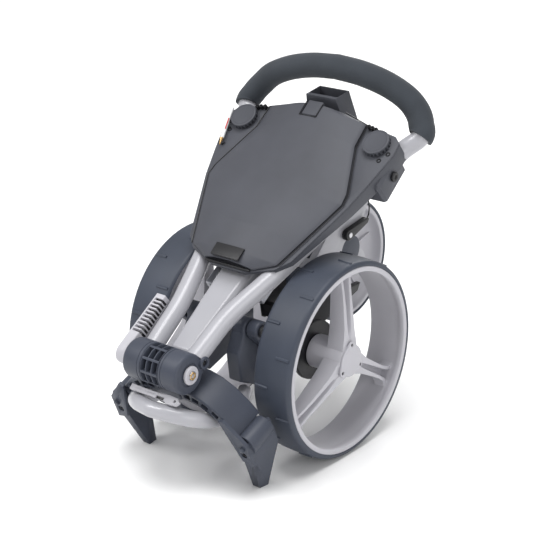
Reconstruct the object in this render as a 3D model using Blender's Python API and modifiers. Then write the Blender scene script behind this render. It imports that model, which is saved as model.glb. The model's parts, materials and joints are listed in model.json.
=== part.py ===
"""Three-wheel golf trolley, folded, standing on its rear wheels and on the wing tips of its bag bracket.

+X is the width, +Z is up, and the front, with the handle hinge, is at -Y. The ground is Z = 0.
Pieces are modelled with the rear axle at Y = 0, and one parent empty then moves the whole object
by AXLE_Y, which centres its box on the frame's origin.
"""
from math import cos, pi, radians, sin

import bmesh
import bpy
from mathutils import Matrix, Vector

# Driving dimensions, in metres and degrees.
AXLE_Y = 0.0038
WHEEL_RADIUS = 0.147
TYRE_INNER_X = 0.087
TYRE_OUTER_X = 0.149
RIM_RADIUS = 0.1411
RIM_BORE = 0.129
AXLE_RADIUS = 0.006
GAP = 0.0003

BARREL = Vector((0, -0.229, 0.178))
BARREL_RADIUS = 0.0285
CORE_HALF = 0.0155
DRUM_OUTER_X = 0.049

TUBE_RADIUS = 0.0135
FOAM_RADIUS = 0.0185

BEAM_SLOPE = radians(34.5)
BEAM_START = Vector((0, -0.1985, 0.189))
BEAM_LENGTH = 0.380
BEAM_DEPTH = 0.036

CONSOLE_SLOPE = radians(40.2)
CONSOLE_ORIGIN = Vector((0, -0.098, 0.3055))
DECK_N = -0.022
LID_CROWN = 0.022
LID_EDGE = 0.004
LID_PIN = (-0.0105, -0.0197)
LATCH_PIN = (0.2435, -0.0015)

BRACKET_SLOPE = radians(23)
WING_PIN_X = 0.117
WING_PIN_Q = 0.1514
BRACKET_FRONT = 0.1475
BRACKET_BACK = 0.098
BLOCK_TOP = 0.2145
HOOK_PIVOT = Vector((-0.040, -0.2445, 0.1400))
HOOK_TILT = radians(45)

LEG_PIVOT = Vector((0, -0.108, 0.208))
LEG_INNER_X = 0.056
LEG_OUTER_X = 0.0745

FORK_PIVOT = Vector((0, 0.185, 0.353))
FORK_SLOPE = radians(46)
FRONT_CENTRE = Vector((0, 0.161, 0.2235))
FRONT_RADIUS = 0.0965
FORK_LEVER_PIVOT = Vector((0, 0.127, 0.279))

SIDES = {"left": -1, "right": 1}

# Frames: SIDE_ON maps a drawing's x, y, z to Y, Z, X. In CONSOLE, x is the width, y runs up the
# console and z leaves its lid. In BRACKET, y leaves the bracket's arms and z runs to the front.
SIDE_ON = Matrix(((0, 0, 1, 0), (1, 0, 0, 0), (0, 1, 0, 0), (0, 0, 0, 1)))
CONSOLE = Matrix.Translation(CONSOLE_ORIGIN) @ Matrix.Rotation(CONSOLE_SLOPE, 4, "X")
BRACKET = Matrix.Rotation(pi / 2 + BRACKET_SLOPE, 4, "X")

for old in list(bpy.data.objects):
    bpy.data.objects.remove(old, do_unlink=True)
TROLLEY = bpy.data.collections.new("golf_trolley")
bpy.context.scene.collection.children.link(TROLLEY)


# Materials

def material(name, colour, roughness, metallic=0.0):
    made = bpy.data.materials.new(name)
    made.use_nodes = True
    shader = made.node_tree.nodes["Principled BSDF"]
    shader.inputs["Base Color"].default_value = (*colour, 1)
    shader.inputs["Roughness"].default_value = roughness
    shader.inputs["Metallic"].default_value = metallic
    return made


SHELL = material("console_plastic", (0.115, 0.12, 0.135), 0.5)
CASTING = material("dark_casting", (0.10, 0.105, 0.13), 0.55)
BLACK = material("black_plastic", (0.02, 0.02, 0.022), 0.45)
FOAM = material("foam", (0.075, 0.085, 0.095), 0.95)
PAINT = material("painted_tube", (0.70, 0.70, 0.74), 0.3, 0.1)
RAIL = material("aluminium", (0.62, 0.63, 0.66), 0.35, 0.9)
RIM = material("wheel_grey", (0.50, 0.50, 0.55), 0.45)
TYRE = material("tyre_rubber", (0.06, 0.068, 0.095), 0.7)
STEEL = material("steel", (0.55, 0.55, 0.57), 0.3, 1.0)
WHITE = material("white_plastic", (0.85, 0.85, 0.85), 0.4)


# Modelling helpers. Each returns one object whose mesh is in the frame described above.

def add(name, mesh, finish):
    made = bpy.data.objects.new(name, mesh)
    TROLLEY.objects.link(made)
    made.data.materials.clear()
    made.data.materials.append(finish)
    return made


def settle(made, merge=0.00001):
    """The object's modifiers or curve applied, its seams welded and its faces pointing out."""
    graph = bpy.context.evaluated_depsgraph_get()
    mesh = bpy.data.meshes.new_from_object(made.evaluated_get(graph))
    mesh.transform(made.matrix_world)
    shape = bmesh.new()
    shape.from_mesh(mesh)
    bmesh.ops.remove_doubles(shape, verts=shape.verts, dist=merge)
    bmesh.ops.recalc_face_normals(shape, faces=shape.faces)
    shape.to_mesh(mesh)
    shape.free()
    mesh.shade_smooth()
    mesh.set_sharp_from_angle(angle=radians(35))
    name = made.name
    finish = made.data.materials[0]
    bpy.data.objects.remove(made, do_unlink=True)
    return add(name, mesh, finish)


def combine(target, tools, operation):
    for tool in tools:
        step = target.modifiers.new("boolean", "BOOLEAN")
        step.operation = operation
        step.solver = "EXACT"
        step.object = tool
    target = settle(target)
    for tool in tools:
        bpy.data.objects.remove(tool, do_unlink=True)
    return target


def cut(target, *tools):
    return combine(target, tools, "DIFFERENCE")


def fuse(target, *tools):
    return combine(target, tools, "UNION")


def from_shape(name, shape, finish):
    mesh = bpy.data.meshes.new(name)
    shape.to_mesh(mesh)
    shape.free()
    return settle(add(name, mesh, finish))


def cylinder(name, start, end, radius, finish, sides=24):
    start, end = Vector(start), Vector(end)
    run = end - start
    turn = run.to_track_quat("Z", "Y").to_matrix().to_4x4()
    shape = bmesh.new()
    bmesh.ops.create_cone(shape, cap_ends=True, segments=sides, radius1=radius, radius2=radius,
                          depth=run.length, matrix=Matrix.Translation((start + end) / 2) @ turn)
    return from_shape(name, shape, finish)


def across(name, centre, x_from, x_to, radius, finish, sides=24):
    """A cylinder along X, between two values of X, about a point in the YZ plane."""
    return cylinder(name, (x_from, centre[1], centre[2]), (x_to, centre[1], centre[2]),
                    radius, finish, sides)


def block(name, low, high, finish, frame=Matrix(), bevel=0.0):
    """A box between two corners of a frame."""
    low, high = Vector(low), Vector(high)
    size = high - low
    shape = bmesh.new()
    place = frame @ Matrix.Translation((low + high) / 2) @ Matrix.Diagonal((*size, 1))
    bmesh.ops.create_cube(shape, size=1, matrix=place)
    if bevel:
        bmesh.ops.bevel(shape, geom=shape.edges[:], offset=bevel, segments=1, affect="EDGES")
    return from_shape(name, shape, finish)


def plate(name, outline, low, high, finish, frame=SIDE_ON, bevel=0.0):
    """A flat outline given thickness, from low to high along its frame's z."""
    curve = bpy.data.curves.new(name, "CURVE")
    curve.dimensions = "2D"
    curve.fill_mode = "BOTH"
    curve.extrude = abs(high - low) / 2 - bevel
    curve.bevel_depth = bevel
    curve.bevel_resolution = 0
    curve.offset = -bevel
    line = curve.splines.new("POLY")
    line.points.add(len(outline) - 1)
    for point, (x, y) in zip(line.points, outline):
        point.co = (x, y, 0, 1)
    line.use_cyclic_u = True
    made = add(name, curve, finish)
    made.matrix_world = frame @ Matrix.Translation((0, 0, (low + high) / 2))
    bpy.context.view_layer.update()
    return settle(made)


def tube(name, points, radius, finish, rounding=3):
    curve = bpy.data.curves.new(name, "CURVE")
    curve.dimensions = "3D"
    curve.bevel_depth = radius
    curve.bevel_resolution = rounding
    curve.use_fill_caps = True
    line = curve.splines.new("POLY")
    line.points.add(len(points) - 1)
    for point, place in zip(line.points, points):
        point.co = (*place, 1)
    return settle(add(name, curve, finish))


def turned(name, profile, finish, centre=(0, 0, 0), steps=48):
    """A ring about X: profile is a closed loop of (radius, x)."""
    mesh = bpy.data.meshes.new(name)
    places = [(radius, 0, x) for radius, x in profile]
    mesh.from_pydata(places, [(i, (i + 1) % len(places)) for i in range(len(places))], [])
    made = add(name, mesh, finish)
    made.matrix_world = Matrix.Translation(centre) @ SIDE_ON
    screw = made.modifiers.new("turn", "SCREW")
    screw.steps = steps
    screw.render_steps = steps
    screw.use_merge_vertices = True
    screw.merge_threshold = 0.00001
    bpy.context.view_layer.update()
    return settle(made)


def loft(name, sections, finish):
    """Closed sections of equal point count, skinned in order and capped."""
    shape = bmesh.new()
    rings = [[shape.verts.new(place) for place in section] for section in sections]
    count = len(rings[0])
    for ring, following in zip(rings, rings[1:]):
        for i in range(count):
            j = (i + 1) % count
            shape.faces.new((ring[i], ring[j], following[j], following[i]))
    shape.faces.new(rings[0])
    shape.faces.new(rings[-1])
    return from_shape(name, shape, finish)


def wrapped(name, places, finish):
    """The tight skin around a few corners."""
    shape = bmesh.new()
    for place in places:
        shape.verts.new(place)
    bmesh.ops.convex_hull(shape, input=shape.verts)
    return from_shape(name, shape, finish)


def arc(centre, radius, start, end, steps):
    """Points on an arc in a drawing plane, from start to end degrees."""
    turns = [radians(start + (end - start) * i / steps) for i in range(steps + 1)]
    return [(centre[0] + radius * cos(t), centre[1] + radius * sin(t)) for t in turns]


def smooth(points, each):
    """A Catmull-Rom curve through the points, with a number of steps between each pair."""
    ends = [points[0] * 2 - points[1], *points, points[-1] * 2 - points[-2]]
    line = []
    for a, b, c, d in zip(ends, ends[1:], ends[2:], ends[3:]):
        for i in range(each):
            t = i / each
            line.append(0.5 * (2 * b + (c - a) * t + (2 * a - 5 * b + 4 * c - d) * t ** 2
                               + (3 * b - a - 3 * c + d) * t ** 3))
    return [*line, points[-1]]


def both(points):
    """A path across X = 0, from its right half, which ends in the middle plane."""
    return [*points, *[Vector((-p.x, p.y, p.z)) for p in reversed(points[:-1])]]


def on_console(x, y, z):
    return CONSOLE @ Vector((x, y, z))


def between(a, b, share):
    return a + (b - a) * share


# Frame: beam, hinge core, rails, leg mounts and bag bracket

def make_beam():
    """The wide main beam, which broadens from the handle hinge to the front wheel's hinge."""
    along = Matrix.Translation(BEAM_START) @ Matrix.Rotation(BEAM_SLOPE, 4, "X")
    outline = [(-0.020, 0), (-0.027, 0.15), (-0.028, BEAM_LENGTH),
               (0.028, BEAM_LENGTH), (0.027, 0.15), (0.020, 0)]
    plate("main_beam", outline[::-1], -BEAM_DEPTH, 0, PAINT, along, bevel=0.006)


def make_hinge():
    """The fixed middle of the handle hinge, its neck to the beam, and the clamp bolt."""
    y, z = BARREL.y, BARREL.z
    neck_top = BEAM_START - Vector((0, 0.0003, 0))
    neck_low = neck_top + Vector((0, BEAM_DEPTH * sin(BEAM_SLOPE), -BEAM_DEPTH * cos(BEAM_SLOPE)))
    foot = BRACKET @ Vector((0, BLOCK_TOP + GAP, BRACKET_FRONT))
    outline = [(neck_top.y, neck_top.z), *arc((y, z), BARREL_RADIUS, 30, 280, 14), (foot.y, foot.z),
               (neck_low.y, neck_low.z)]
    core = plate("hinge_core", outline, -CORE_HALF, CORE_HALF, CASTING)
    cut(core, across("bolt_hole", BARREL, -0.03, 0.03, AXLE_RADIUS + GAP, CASTING))
    across("hinge_bolt", BARREL, -0.0760, 0.0550, AXLE_RADIUS, STEEL)
    turned("hinge_cap", [(0.0063, 0.0494), (0.0063, 0.0540), (0.012, 0.0540), (0.013, 0.0530),
                         (0.013, 0.0494)], RIM, BARREL, 24)


def make_rails():
    """Two aluminium rails beside the beam."""
    slope = radians(35)
    start = Vector((0, -0.080, 0.2372))
    along = Matrix.Translation(start) @ Matrix.Rotation(slope, 4, "X")
    for side, s in SIDES.items():
        x_low, x_high = sorted((s * 0.034, s * 0.050))
        block(f"fold_rail_{side}", (x_low, 0, -0.009), (x_high, 0.19, 0.009), RAIL, along, 0.002)


def make_leg_mounts():
    """Castings bolted to the beam's sides, which hold the pins that the rear legs fold on."""
    outline = [*arc((LEG_PIVOT.y, LEG_PIVOT.z), 0.014, 60, 200, 8), (-0.134, 0.176), (-0.128, 0.132),
               (-0.098, 0.118), (-0.062, 0.130), (-0.048, 0.160), (-0.058, 0.196)]
    for side, s in SIDES.items():
        low, high = sorted((s * 0.0295, s * 0.0535))
        mount = plate(f"leg_mount_{side}", outline, low, high, CASTING, bevel=0.002)
        cut(mount, across("pin_hole", LEG_PIVOT, s * 0.025, s * 0.06, 0.005 + GAP, CASTING, 16))
        pin = across(f"leg_pin_{side}", LEG_PIVOT, s * 0.031, s * 0.076, 0.005, STEEL, 16)
        head_from = s * (LEG_OUTER_X + GAP)
        fuse(pin, across("pin_head", LEG_PIVOT, head_from, s * 0.0790, 0.009, STEEL, 16))


def make_bracket():
    """The upper bag bracket: a block under the hinge, two curved arms, and the pins of the wings."""
    block("bracket_block", (-0.020, 0.199, 0.102), (0.020, BLOCK_TOP, BRACKET_FRONT), CASTING, BRACKET, 0.002)
    top = [(0.0215, 0.2220), (0.040, 0.2215), (0.060, 0.2150), (0.080, 0.2020), (0.097, 0.1830),
           (0.1085, 0.1655)]
    low = [(0.098, 0.1590), (0.086, 0.1740), (0.070, 0.1880), (0.052, 0.1985), (0.036, 0.2020),
           (0.0215, 0.2030)]
    for side, s in SIDES.items():
        outline = [(s * x, y) for x, y in (*top, *low)]
        plate(f"bracket_arm_{side}", outline, BRACKET_BACK, BRACKET_FRONT, CASTING, BRACKET, 0.0015)
        pin_front = BRACKET @ Vector((s * WING_PIN_X, WING_PIN_Q, 0.159))
        pin_back = BRACKET @ Vector((s * WING_PIN_X, WING_PIN_Q, 0.094))
        cylinder(f"wing_pin_{side}", pin_front, pin_back, 0.004, STEEL, 12)


def make_hoop():
    """The white hoop that the bag leans on, a U whose ends meet the bracket's arms."""
    half = [Vector((0.040, -0.106, 0.1075)), Vector((0.052, -0.130, 0.1030)), Vector((0.060, -0.162, 0.1000)),
            Vector((0.0605, -0.195, 0.1035)), Vector((0.053, -0.226, 0.1130)),
            Vector((0.031, -0.246, 0.1210)), Vector((0, -0.254, 0.1230))]
    tube("bag_hoop", both(smooth(half, 3)), 0.0115, PAINT)


def make_front_hinge():
    """The knuckle at the beam's far end and the pin that the front fork folds on."""
    y, z = FORK_PIVOT.y, FORK_PIVOT.z
    reach = BEAM_LENGTH + GAP
    top = BEAM_START + Vector((0, reach * cos(BEAM_SLOPE), reach * sin(BEAM_SLOPE)))
    depth = BEAM_DEPTH - 0.004
    low = top + Vector((0, depth * sin(BEAM_SLOPE), -depth * cos(BEAM_SLOPE)))
    outline = [(low.y, low.z), *arc((y, z), 0.016, 220, 420, 10), (top.y, top.z)]
    knuckle = plate("front_hinge_block", outline, -0.024, 0.024, CASTING, bevel=0.002)
    cut(knuckle, across("pin_hole", FORK_PIVOT, -0.03, 0.03, 0.005 + GAP, CASTING, 16))
    across("front_hinge_pin", FORK_PIVOT, -0.044, 0.044, 0.005, STEEL, 16)


# Handle: drums, tube, grip and console

def handle_path():
    """The right half of the handle tube, from its drum to the middle of the grip."""
    low = on_console(0.066, 0.004, -0.040)
    high = on_console(0.1360, 0.235, -0.0515)
    start = Vector((0.0370, -0.2105, 0.1865))
    bend = Vector((0.0425, -0.1430, 0.2325))
    lower = [start, between(start, bend, 0.45), between(start, bend, 0.85), between(bend, low, 0.2),
             between(bend, low, 0.75), between(low, high, 0.05), between(low, high, 0.5), high]
    upper = [Vector((0.1580, 0.1400, 0.4433)), Vector((0.1525, 0.1500, 0.4600)),
             Vector((0.1405, 0.1570, 0.4755)), Vector((0.1205, 0.1580, 0.4920)),
             Vector((0.0860, 0.1575, 0.5065)), Vector((0.0440, 0.1560, 0.5160)), Vector((0, 0.1550, 0.5198))]
    return lower, upper


def make_handle():
    lower, upper = handle_path()
    steps = 2
    half = smooth([*lower, *upper], steps)
    grip_from = steps * len(lower)
    path = both(half)
    for side, s in SIDES.items():
        low, high = s * (CORE_HALF + 0.001), s * DRUM_OUTER_X
        drum = across(f"hinge_drum_{side}", BARREL, low, high, BARREL_RADIUS, CASTING, 32)
        cut(drum, across("bolt_hole", BARREL, s * 0.01, s * 0.06, AXLE_RADIUS + GAP, CASTING))
    pipe = tube("handle_tube", path, TUBE_RADIUS, PAINT, 4)
    cut(pipe, across("drum_room", BARREL, -0.06, 0.06, BARREL_RADIUS + GAP, PAINT, 32))
    grip = tube("foam_grip", both(half[grip_from:]), FOAM_RADIUS, FOAM, 4)
    cut(grip, tube("grip_bore", both(half[grip_from - 1:]), TUBE_RADIUS + 0.0010, FOAM, 4))
    return path


CONSOLE_OUTLINE = [(0.030, -0.014), (0.074, 0.002), (0.092, 0.020), (0.110, 0.070), (0.129, 0.122),
                   (0.140, 0.165), (0.152, 0.218), (0.151, 0.238), (0.140, 0.248), (0.088, 0.258),
                   (0.040, 0.266)]
LID_OUTLINE = [(0.040, -0.010), (0.076, 0.008), (0.087, 0.036), (0.108, 0.090), (0.120, 0.122),
               (0.118, 0.140), (0.088, 0.218), (0.0865, 0.256), (0.040, 0.2675)]
MOUTH_SHARE = 0.94


def mirrored(outline):
    return [*outline, *[(-x, y) for x, y in reversed(outline)]]


def underside(y):
    """The console's underside, which runs beside the beam."""
    return -0.029 - 0.11 * y


def below_console(name, clearance):
    """A cutter for everything under the console's sloping underside."""
    corners = []
    for y in (-0.1, 0.35):
        for x in (-0.2, 0.2):
            corners += [on_console(x, y, underside(y) - clearance), on_console(x, y, -0.3)]
    return wrapped(name, corners, SHELL)


def make_console(path):
    """The console's lower shell, hollow under the lid and clipped round the handle tube."""
    base = plate("console_base", mirrored(CONSOLE_OUTLINE), -0.080, DECK_N - 0.003, SHELL, CONSOLE)
    base = cut(base, below_console("under_cut", 0))
    for s in SIDES.values():
        low_x, high_x = sorted((s * 0.112, s * 0.1490))
        pod = block("pod", (low_x, 0.168, -0.072), (high_x, 0.230, -0.034), SHELL, CONSOLE, 0.004)
        base = fuse(base, pod)
    corners = []
    for half_width, y, bottom in ((0.052, 0.045, -0.0310), (0.078, 0.150, -0.0425), (0.078, 0.235, -0.0515)):
        corners += [on_console(s * half_width, y, z) for s in (-1, 1) for z in (bottom, 0.02)]
    base = cut(base, wrapped("hollow", corners, SHELL))
    cut(base, tube("tube_room", path, TUBE_RADIUS + 0.0005, SHELL, 4), pocket_block("pocket_place", GAP))

    deck = plate("console_deck", mirrored(CONSOLE_OUTLINE), DECK_N - 0.0027, DECK_N, SHELL, CONSOLE)
    mouth = [(x * MOUTH_SHARE, y) for x, y in mirrored(LID_OUTLINE) if y > 0]
    deck = cut(deck, plate("mouth", mouth, -0.05, 0, SHELL, CONSOLE))
    cut(deck, tube("tube_room", path, TUBE_RADIUS + 0.0005, SHELL, 4), pocket_block("pocket_place", GAP))

    for side, s in SIDES.items():
        boss_from = on_console(s * 0.1503, 0.201, -0.050)
        boss_to = on_console(s * 0.1540, 0.201, -0.050)
        cylinder(f"console_bolt_{side}", boss_from, boss_to, 0.0075, BLACK, 16)
        knob_from = on_console(s * 0.120, 0.2285, DECK_N + GAP)
        knob_to = on_console(s * 0.120, 0.2285, DECK_N + 0.009)
        cylinder(f"accessory_cap_{side}", knob_from, knob_to, 0.0205, SHELL, 32)


def lid_section(y, half_width, crown, drop):
    """One cross-section of the lid: its crowned top, and the same arch below it."""
    steps = 12
    across_lid = [half_width * (1 - 2 * i / steps) for i in range(steps + 1)]
    height = [DECK_N + LID_EDGE + crown * (1 - (x / half_width) ** 2) for x in across_lid]
    outer = [on_console(x, y, z) for x, z in zip(across_lid, height)]
    inset = 1 - 0.0022 / half_width
    inner = [on_console(x * inset, y, z - drop) for x, z in zip(across_lid, height)]
    return [*outer, *inner[::-1]]


def lid_half_width(y):
    """The lid's half width at a place up the console."""
    points = sorted((py, px) for px, py in LID_OUTLINE)
    for (y0, x0), (y1, x1) in zip(points, points[1:]):
        if y0 <= y <= y1:
            return x0 + (x1 - x0) * (y - y0) / (y1 - y0)
    return points[0][1] if y < points[0][0] else points[-1][1]


def make_lid():
    """The crowned lid, its hinge pin, its latch and the plain badge plate."""
    places = [-0.008, 0.0, 0.010, 0.024, 0.040, 0.065, 0.090, 0.115, 0.130, 0.145, 0.170, 0.195, 0.216, 0.236,
              0.254, 0.262]
    sections = []
    for y in places:
        crown = (LID_CROWN - LID_EDGE) * (1 - 0.35 * max(0, (0.05 - y) / 0.05))
        sections.append(lid_section(y, lid_half_width(y), crown, 0.0026))
    lid = loft("console_lid", sections, SHELL)
    latch_room = block("latch_room", (-0.0140, 0.2415, -0.03), (0.0140, 0.28, 0.03), SHELL, CONSOLE)
    badge_room = block("badge_room", (-0.0253, -0.0078, -0.0068), (0.0253, 0.0128, 0.01), SHELL, CONSOLE)
    cut(lid, latch_room, badge_room)
    block("lid_latch", (-0.0130, 0.2425, -0.0085), (0.0130, 0.2680, -0.0005), SHELL, CONSOLE, 0.001)
    block("badge_plate", (-0.0250, -0.0075, -0.0065), (0.0250, 0.0125, -0.0035), BLACK, CONSOLE, 0.0006)
    left = on_console(-0.040, *LID_PIN)
    right = on_console(0.040, *LID_PIN)
    cylinder("lid_pin", left, right, 0.002, STEEL, 12)


def pocket_block(name, grow):
    """The pocket's outer shape, made larger by grow: a box that narrows upwards to its rim."""
    low, high = 0.036 + grow, 0.0265 + grow
    corners = [(low, 0.1345 - grow, 0.4330 - grow), (low, 0.1630 + grow, 0.4400 - grow),
               (high, 0.1500 + grow, 0.4890 + grow), (high, 0.1165 - grow, 0.4830 + grow)]
    return wrapped(name, [(s * x, y, z) for x, y, z in corners for s in (-1, 1)], SHELL)


def make_pocket():
    """The open scoop behind the lid, which holds a ball or a phone."""
    corners = [(0.0325, 0.1370, 0.4375), (0.0325, 0.1595, 0.4430),
               (0.0232, 0.1450, 0.5000), (0.0232, 0.1180, 0.5000)]
    room = wrapped("pocket_room", [(s * x, y, z) for x, y, z in corners for s in (-1, 1)], SHELL)
    cut(pocket_block("rear_pocket", 0), room)


def pencil_ends():
    """The pencil's point and its far end, alongside the console's left edge."""
    return on_console(-0.1316, 0.172, -0.0165), on_console(-0.1496, 0.239, -0.0165)


def make_pencil():
    """The score pencil and the clip it slides in."""
    low, high = pencil_ends()
    cylinder("score_pencil", low, high, 0.0032, WHITE, 8)
    reach = (high - low).normalized()
    clip = cylinder("pencil_clip", low + reach * 0.008, low + reach * 0.034, 0.0052, BLACK, 12)
    cut(clip, cylinder("pencil_room", low - reach * 0.02, high + reach * 0.02, 0.0036, BLACK, 8))


# Levers, wings and hook

def make_clamp_lever():
    """The light lever that tightens the hinge bolt."""
    turn = radians(38)
    axis_out = Vector((0, cos(turn), sin(turn)))
    tip = BARREL + axis_out * 0.096
    half_tip = Vector((0, -sin(turn), cos(turn))) * 0.008
    low, high = tip - half_tip, tip + half_tip
    outline = [(low.y, low.z), (high.y, high.z), *arc((BARREL.y, BARREL.z), 0.015, 128, 308, 10)]
    lever = plate("clamp_lever", outline, -0.0745, -0.0575, RIM, bevel=0.001)
    lever = fuse(lever, across("clamp_disc", BARREL, -0.0493, -0.0580, 0.019, CASTING))
    cut(lever, across("bolt_hole", BARREL, -0.09, -0.04, AXLE_RADIUS + GAP, RIM))


def make_wings():
    """Two folded-plate wings that clasp the bag, and whose tips the folded trolley stands on."""
    for side, s in SIDES.items():
        corners = [BRACKET @ Vector((s * x, y, z)) for x, y, z in (
            (0.1105, 0.1490, 0.154), (0.1250, 0.1600, 0.154), (0.1270, 0.1440, 0.154),
            (0.1105, 0.1490, 0.099), (0.1250, 0.1600, 0.099), (0.1270, 0.1440, 0.099),
            (0.1270, 0.1180, 0.100), (0.1180, 0.1000, 0.103))]
        corners += [Vector((s * x, y, 0)) for x, y in (
            (0.098, -0.158), (0.111, -0.158), (0.113, -0.143), (0.101, -0.141))]
        corners += [Vector((s * 0.1045, -0.1640, 0.012))]
        wing = wrapped(f"wing_{side}", corners, CASTING)
        cheek = [(0.0880, 0.1930), (0.0960, 0.1960), (0.1255, 0.1610), (0.1270, 0.1200), (0.1080, 0.1250)]
        wing = fuse(wing, plate("cheek", [(s * x, y) for x, y in cheek], 0.1500, 0.1550, CASTING, BRACKET))
        front = BRACKET @ Vector((s * WING_PIN_X, WING_PIN_Q, 0.17))
        back = BRACKET @ Vector((s * WING_PIN_X, WING_PIN_Q, 0.08))
        cut(wing, cylinder("pin_room", front, back, 0.004 + GAP, CASTING, 12))


def make_hook():
    """The hook that ends the bag strap, lying over the hoop under the hinge."""
    outline = [(-0.004, -0.0040), (0.058, -0.0040), (0.066, -0.0066), (0.080, -0.0050), (0.084, 0.0010),
               (0.079, 0.0056), (0.064, 0.0062), (0.050, 0.0040), (-0.004, 0.0040)]
    frame = Matrix.Translation(HOOK_PIVOT) @ Matrix.Rotation(HOOK_TILT, 4, "X")
    plate("strap_hook", outline, -0.0025, 0.0025, RIM, frame)


# Rear legs and wheels

def make_leg(side, s):
    """A leg: the arm from its pivot to the hub, the stub axle and the brake's cable."""
    axle = Vector((0, 0, WHEEL_RADIUS))
    outline = [*arc((LEG_PIVOT.y, LEG_PIVOT.z), 0.014, 50, 230, 8), (-0.032, 0.122), (-0.022, 0.115),
               (0.022, 0.115), (0.032, 0.125), (0.032, 0.168), (0.022, 0.178), (-0.030, 0.182)]
    low, high = sorted((s * LEG_INNER_X, s * LEG_OUTER_X))
    leg = plate(f"leg_{side}", outline, low, high, CASTING, bevel=0.002)
    cut(leg, across("pin_hole", LEG_PIVOT, s * 0.05, s * 0.08, 0.005 + GAP, CASTING, 16),
        across("axle_hole", axle, s * 0.05, s * 0.08, AXLE_RADIUS + GAP, CASTING, 16))
    across(f"axle_{side}", axle, s * LEG_INNER_X, s * 0.1455, AXLE_RADIUS, STEEL, 16)
    route = [Vector((s * 0.0652, -0.092, 0.170)), Vector((s * 0.0652, -0.095, 0.150)),
             Vector((s * 0.0652, -0.082, 0.128)), Vector((s * 0.0652, -0.058, 0.116)),
             Vector((s * 0.0652, -0.0345, 0.1175))]
    tube(f"brake_cable_{side}", smooth(route, 3), 0.0025, RIM, 2)


def spoke(axle, angle, s):
    """One spoke, a bar from the hub to the rim that narrows outwards."""
    run = Matrix.Translation(axle) @ SIDE_ON @ Matrix.Rotation(angle, 4, "Z")
    low, high = sorted((s * 0.100, s * 0.140))
    outline = [(0.012, -0.014), (0.132, -0.008), (0.132, 0.008), (0.012, 0.014)]
    return plate("spoke", outline, low, high, RIM, run)


def make_wheel(side, s):
    """A rear wheel: rim with three spokes, tyre, hub cap and the ring of its brake."""
    axle = Vector((0, 0, WHEEL_RADIUS))
    turned(f"tyre_{side}", [(RIM_RADIUS + GAP, s * 0.0875), (0.1445, s * TYRE_INNER_X), (0.1456, s * 0.096),
                            (WHEEL_RADIUS, s * 0.118), (0.1456, s * 0.140), (0.1445, s * TYRE_OUTER_X),
                            (RIM_RADIUS + GAP, s * 0.1485)], TYRE, axle, 64)
    rim = turned(f"rim_{side}", [(RIM_BORE, s * 0.1490), (RIM_RADIUS, s * 0.1490), (RIM_RADIUS, s * 0.0878),
                                 (RIM_BORE + 0.002, s * 0.0878)], RIM, axle, 64)
    hub = across("hub", axle, s * 0.0855, s * 0.1455, 0.022, RIM, 32)
    rim = fuse(rim, hub, *[spoke(axle, radians(angle), s) for angle in (90, 210, 330)])
    cut(rim, across("axle_hole", axle, s * 0.08, s * 0.1460, AXLE_RADIUS + GAP, RIM, 16))
    cap = []
    for i in range(36):
        turn = 2 * pi * i / 36
        cap.append((0.0235 + 0.0035 * max(0.0, cos(3 * (turn - pi / 2))) ** 2, turn))
    outline = [(radius * cos(turn), WHEEL_RADIUS + radius * sin(turn)) for radius, turn in cap]
    low, high = sorted((s * 0.1458, s * 0.1492))
    plate(f"hub_cap_{side}", outline, low, high, RIM)
    turned(f"brake_ring_{side}", [(0.0066, s * 0.0775), (0.044, s * 0.0775), (0.044, s * 0.0845),
                                  (0.0066, s * 0.0845)], BLACK, axle, 32)


# Front fork and wheel

def make_fork():
    """The front wheel's fork: two silver side plates joined by a cross-piece, folded under the beam."""
    along = Matrix.Translation(FORK_PIVOT) @ SIDE_ON @ Matrix.Rotation(FORK_SLOPE, 4, "Z")
    axle_at = along.inverted() @ FRONT_CENTRE
    outline = [*arc((0, 0), 0.018, 90, -90, 8), (-0.040, -0.030), (axle_at.x + 0.022, -0.040),
               *arc((axle_at.x, axle_at.y), 0.020, -10, -170, 6),
               (axle_at.x - 0.022, -0.040), (-0.150, -0.026), (-0.172, -0.010), (-0.172, 0.022),
               (-0.160, 0.027), (-0.030, 0.027)]
    fork = plate("front_fork", outline, 0.0290, 0.0405, PAINT, along)
    other = plate("fork_left", outline, -0.0405, -0.0290, PAINT, along)
    bridge = block("bridge", (-0.171, 0.013, -0.032), (-0.158, 0.025, 0.032), PAINT, along)
    fork = fuse(fork, other, bridge)
    cut(fork, across("pin_hole", FORK_PIVOT, -0.06, 0.06, 0.005 + GAP, PAINT, 16),
        across("axle_hole", FRONT_CENTRE, -0.06, 0.06, 0.0055 + GAP, PAINT, 16))
    across("front_axle", FRONT_CENTRE, -0.0450, 0.0450, 0.0055, STEEL, 16)

    turned("front_tyre", [(0.0898, -0.0255), (0.0935, -0.0265), (FRONT_RADIUS, -0.020), (FRONT_RADIUS, 0.020),
                          (0.0935, 0.0265), (0.0898, 0.0255)], TYRE, FRONT_CENTRE, 48)
    turned("front_rim", [(0.0895, -0.0255), (0.0895, 0.0255), (0.081, 0.0255), (0.079, 0.006), (0.020, 0.006),
                         (0.018, 0.0265), (0.0058, 0.0265), (0.0058, -0.0265), (0.018, -0.0265),
                         (0.020, -0.006), (0.079, -0.006), (0.081, -0.0255)], RIM, FRONT_CENTRE, 48)

    pivot = FORK_LEVER_PIVOT
    lever_frame = Matrix.Translation(pivot) @ SIDE_ON @ Matrix.Rotation(radians(14), 4, "Z")
    lever_outline = [*arc((0, 0), 0.009, 100, 260, 6), (0.046, -0.004), (0.051, 0.001), (0.046, 0.005)]
    plate("fork_lever", lever_outline, 0.0410, 0.0500, BLACK, lever_frame, bevel=0.001)


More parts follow.
